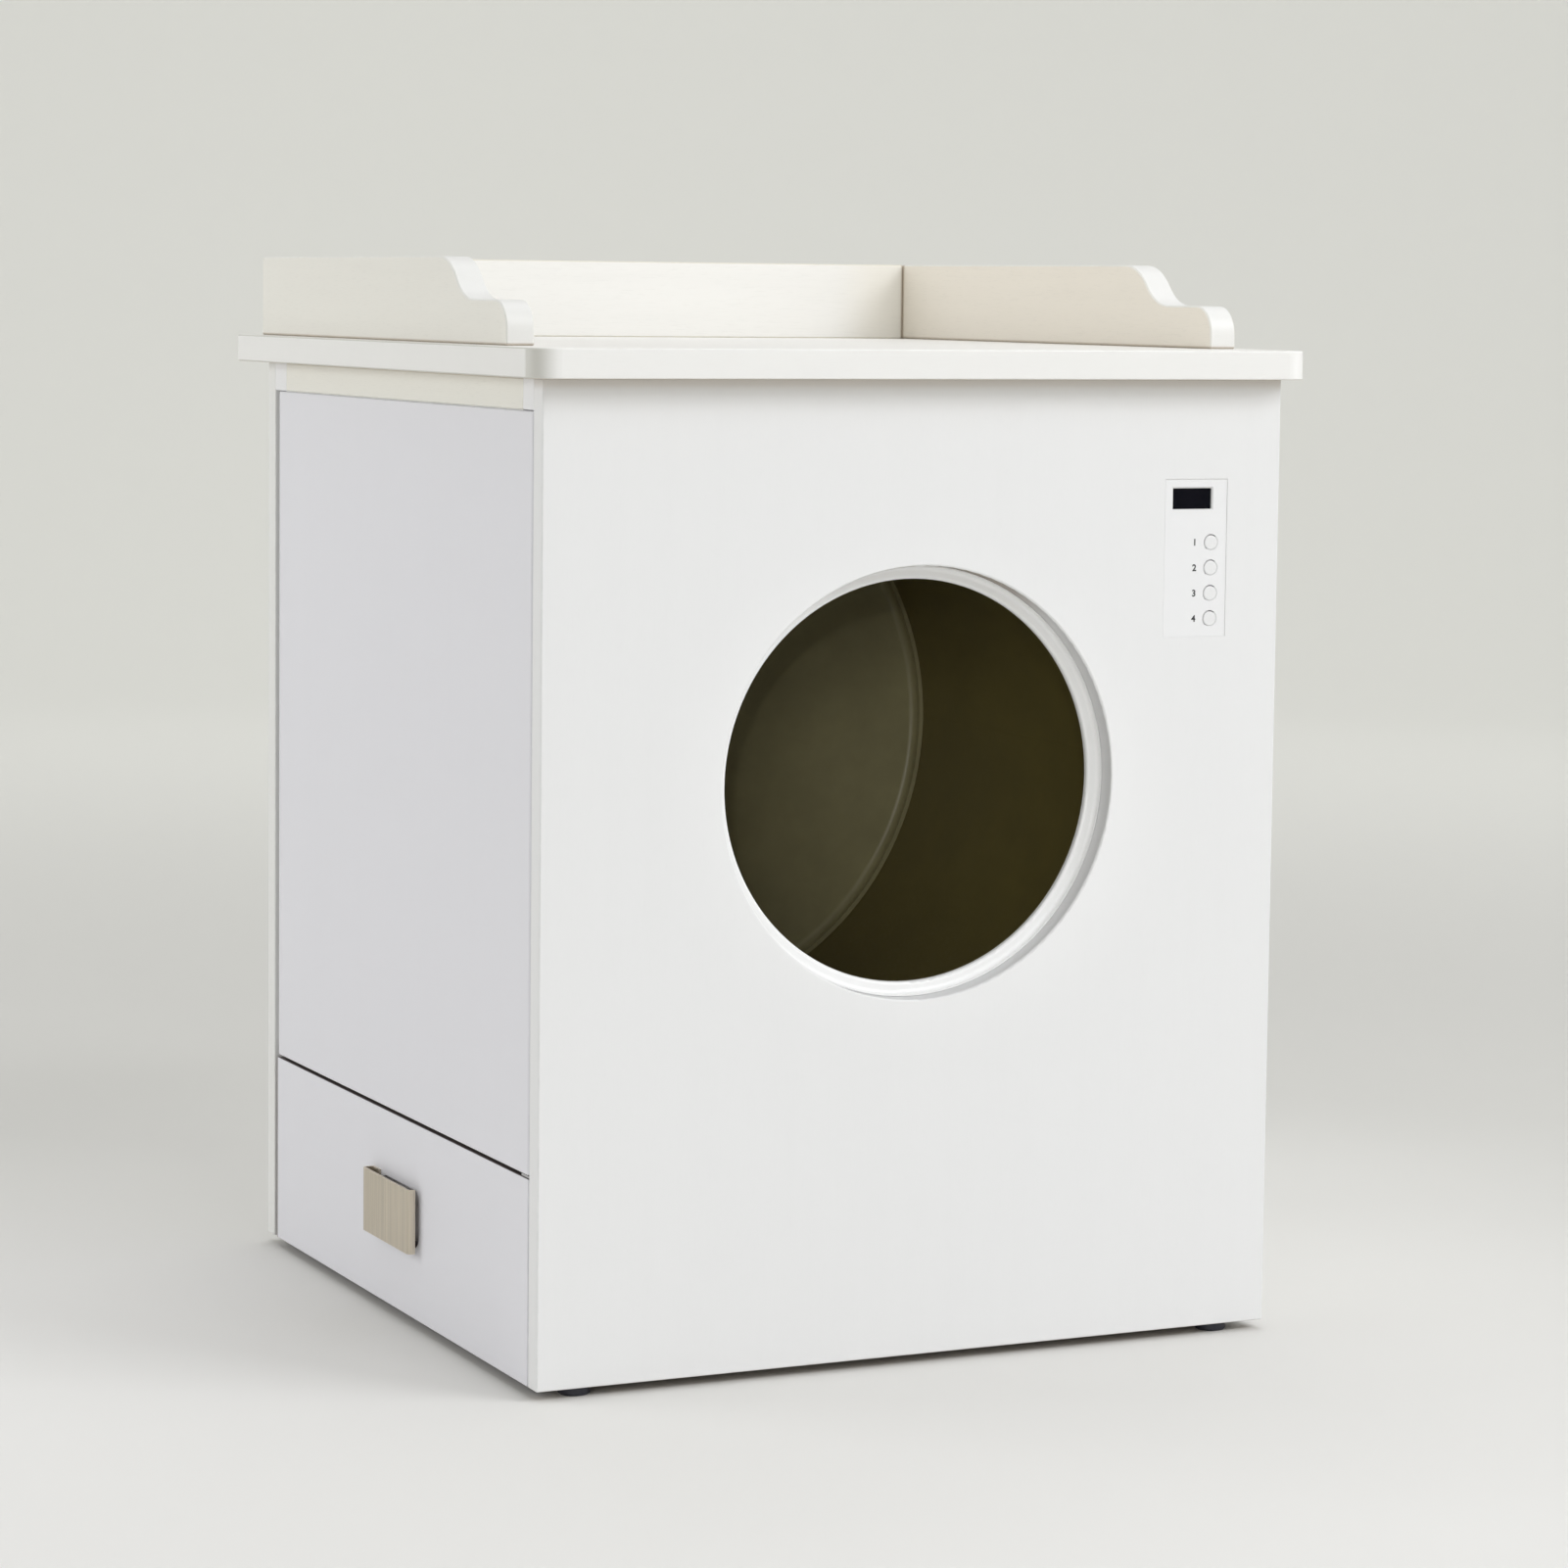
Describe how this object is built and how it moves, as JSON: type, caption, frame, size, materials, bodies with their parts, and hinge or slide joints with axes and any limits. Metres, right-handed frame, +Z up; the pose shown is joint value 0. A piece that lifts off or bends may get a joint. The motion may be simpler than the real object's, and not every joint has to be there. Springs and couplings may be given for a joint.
{
  "type": "self-cleaning litter box",
  "caption": "Cabinet litter box with a round entrance, a turning drum with a sieve, a side door over a waste drawer, and a control panel.",
  "frame": {"origin": "on the floor, under the middle of the top board", "axes": "+X to the right, +Y from the front with the entrance to the back, +Z up"},
  "size_m": [0.524, 0.5414, 0.677],
  "materials": {
    "front_board": "satin white faced board",
    "door_board": "satin cool white faced board",
    "top_board": "satin warm ivory faced board with a faint grain",
    "rail_block": "satin white",
    "inner_board": "satin white faced board",
    "drawer_board": "satin off-white faced board",
    "collar_plastic": "smooth white moulded plastic",
    "drum_plastic": "dark olive moulded plastic",
    "sieve_plastic": "dark grey moulded plastic",
    "gear_plastic": "natural moulded plastic",
    "roller_rubber": "black rubber",
    "steel": "zinc plated steel",
    "zinc": "die-cast zinc",
    "bush_brass": "sintered bronze",
    "cradle_plastic": "grey moulded plastic",
    "gearbox_metal": "satin metal",
    "motor_metal": "plated can",
    "sensor_plastic": "black plastic",
    "chute_plastic": "grey moulded plastic",
    "bin_plastic": "grey moulded plastic",
    "slide_plastic": "white moulded plastic",
    "pull_nickel": "satin nickel",
    "catch_plastic": "white plastic",
    "bezel_plastic": "satin white plastic",
    "display_glass": "black glossy window",
    "button_plastic": "satin white plastic",
    "circuit_board": "green board",
    "housing_plastic": "white moulded plastic",
    "foot_plastic": "dark plastic glide"
  },
  "bodies": {
    "cabinet": {"back_panel": "inner_board", "bottom_panel": "inner_board", "cam_locks": "zinc", "control_bezel": "bezel_plastic", "control_board": "circuit_board", "control_housing": "housing_plastic", "dc_inlet": "sensor_plastic", "display_window": "display_glass", "door_pivot_bracket": "steel", "door_pivot_pin": "steel", "drum_sensor": "sensor_plastic", "front_panel": "front_board", "gallery_back_rail": "top_board", "gallery_left_rail": "top_board", "gallery_right_rail": "top_board", "gearbox": "gearbox_metal", "glide_feet": "foot_plastic", "hardware_screws": "steel", "left_top_rail": "top_board", "magnetic_catch": "catch_plastic", "motor_bracket": "steel", "motor_can": "motor_metal", "opening_collar": "collar_plastic", "panel_screws": "steel", "rail_blocks": "rail_block", "right_side_panel": "inner_board", "roller_bushes": "bush_brass", "roller_cradle_front": "cradle_plastic", "roller_cradle_rear": "cradle_plastic", "runner_channels": "steel", "shelf": "inner_board", "top_board": "top_board", "waste_chute": "chute_plastic"},
    "door": {"side_door": "door_board", "door_strike_plate": "steel"},
    "drawer": {"drawer_front": "door_board", "drawer_pull": "pull_nickel", "drawer_side_front": "drawer_board", "drawer_side_rear": "drawer_board", "drawer_back": "drawer_board", "drawer_bottom": "drawer_board", "waste_bin": "bin_plastic", "slide_bars": "slide_plastic", "pull_screws": "steel"},
    "drum": {"drum_shell": "drum_plastic", "drum_front_cap": "drum_plastic", "drum_rear_cap": "drum_plastic", "sieve": "sieve_plastic", "ring_gear": "gear_plastic", "drum_screws": "steel"},
    "pinion": {"drum_pinion": "gear_plastic"},
    "roller_left": {"roller_axle_left": "steel", "rollers_left": "roller_rubber"},
    "roller_right": {"roller_axle_right": "steel", "rollers_right": "roller_rubber"},
    "button_1": {"button_1": "button_plastic"},
    "button_2": {"button_2": "button_plastic"},
    "button_3": {"button_3": "button_plastic"},
    "button_4": {"button_4": "button_plastic"}
  },
  "joints": [
    {"name": "drum_turn", "type": "hinge", "parent": "cabinet", "child": "drum", "pos_m": [0, -0.03, 0.36], "axis": [0, 1, 0], "range_deg": [-165, 215]},
    {"name": "pinion_turn", "type": "hinge", "parent": "cabinet", "child": "pinion", "pos_m": [0.1337, 0.15375, 0.20066], "axis": [0, 1, 0], "range_deg": [-1384, 1062]},
    {"name": "roller_left_turn", "type": "hinge", "parent": "cabinet", "child": "roller_left", "pos_m": [-0.16223, -0.03575, 0.21393], "axis": [0, 1, 0], "range_deg": [-2911, 2234]},
    {"name": "roller_right_turn", "type": "hinge", "parent": "cabinet", "child": "roller_right", "pos_m": [0.16223, -0.03575, 0.21393], "axis": [0, 1, 0], "range_deg": [-2911, 2234]},
    {"name": "door_swing", "type": "hinge", "parent": "cabinet", "child": "door", "pos_m": [-0.2455, -0.23325, 0.36], "axis": [0, 0, 1], "range_deg": [0, 100]},
    {"name": "drawer_slide", "type": "slide", "parent": "cabinet", "child": "drawer", "axis": [-1, 0, 0], "range_m": [0, 0.33]},
    {"name": "button_1_press", "type": "slide", "parent": "cabinet", "child": "button_1", "axis": [0, 1, 0], "range_m": [0, 0.0012], "stiffness_N_per_m": 600},
    {"name": "button_2_press", "type": "slide", "parent": "cabinet", "child": "button_2", "axis": [0, 1, 0], "range_m": [0, 0.0012], "stiffness_N_per_m": 600},
    {"name": "button_3_press", "type": "slide", "parent": "cabinet", "child": "button_3", "axis": [0, 1, 0], "range_m": [0, 0.0012], "stiffness_N_per_m": 600},
    {"name": "button_4_press", "type": "slide", "parent": "cabinet", "child": "button_4", "axis": [0, 1, 0], "range_m": [0, 0.0012], "stiffness_N_per_m": 600}
  ],
  "couplings": [
    {"joint": "pinion_turn", "follows": "drum_turn", "ratio": -6.4286},
    {"joint": "roller_left_turn", "follows": "drum_turn", "ratio": -13.533},
    {"joint": "roller_right_turn", "follows": "drum_turn", "ratio": -13.533}
  ]
}
